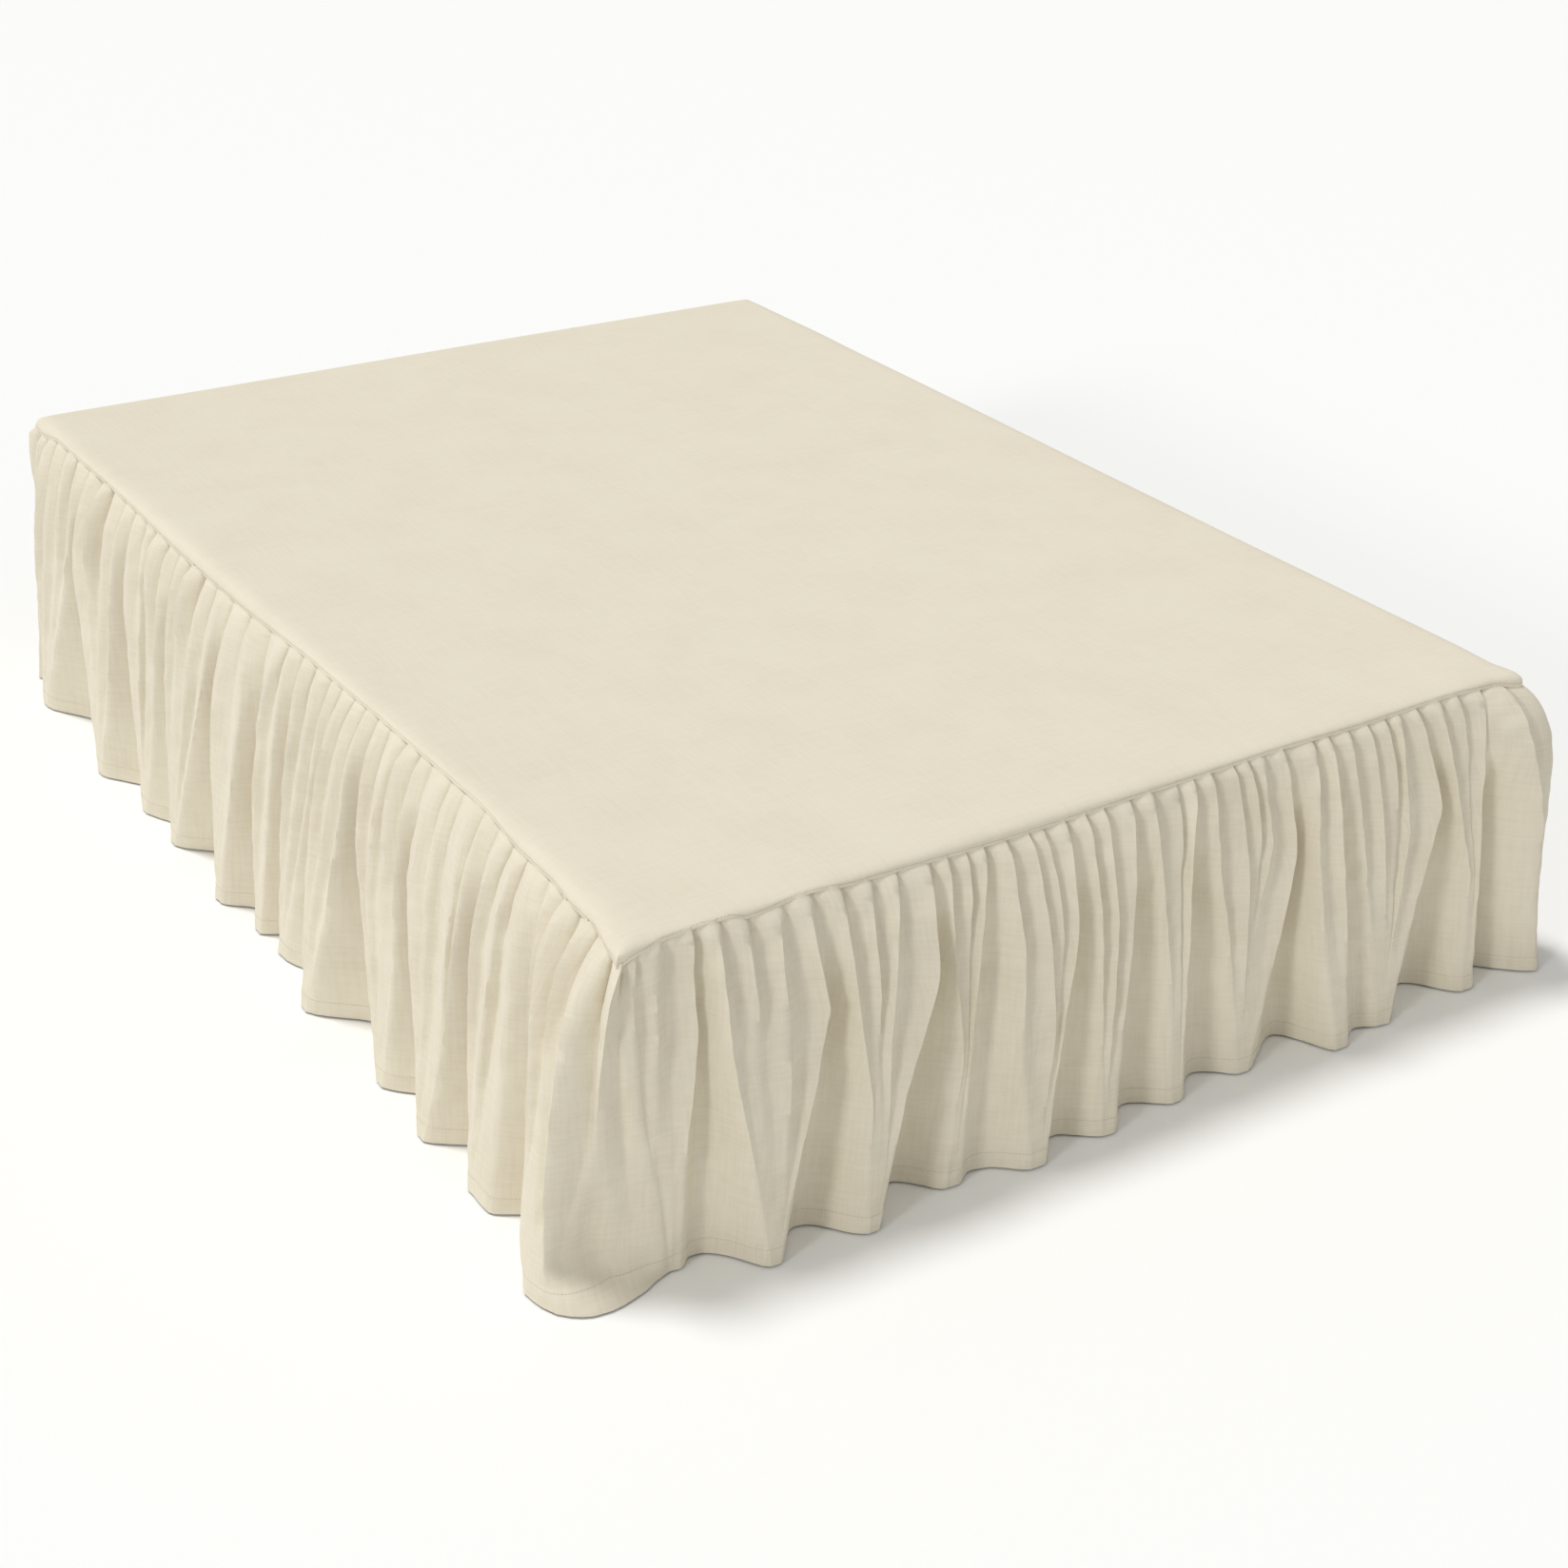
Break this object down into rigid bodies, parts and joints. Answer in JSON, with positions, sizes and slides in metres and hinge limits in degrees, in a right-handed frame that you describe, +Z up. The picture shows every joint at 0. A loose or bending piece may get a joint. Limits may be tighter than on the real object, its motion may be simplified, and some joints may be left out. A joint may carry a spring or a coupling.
{
  "type": "gathered bed skirt on a bed base",
  "caption": "Flat deck panel over a plain legged bed base, with a full gathered drop hanging to the floor round both sides and the foot.",
  "frame": {"origin": "on the floor, at the middle of the whole object's outline", "axes": "+Z up; the bed's foot faces -Y, its open head end faces +Y, and its left side, seen from the foot, faces -X"},
  "size_m": [1.6154, 2.038, 0.457],
  "materials": {
    "panel_cloth": "plain woven cream cotton, smooth and matte",
    "drop_cloth": "plain woven cream cotton canvas, gathered, matte",
    "base_cloth": "plain off-white upholstery cloth",
    "leg_wood": "turned beech, satin varnish"
  },
  "bodies": {
    "root": {"platform_panel": "panel_cloth", "skirt_left": "drop_cloth", "skirt_foot": "drop_cloth", "skirt_right": "drop_cloth", "base_box": "base_cloth", "leg_1": "leg_wood", "leg_2": "leg_wood", "leg_3": "leg_wood", "leg_4": "leg_wood", "leg_5": "leg_wood", "leg_6": "leg_wood"}
  },
  "joints": []
}
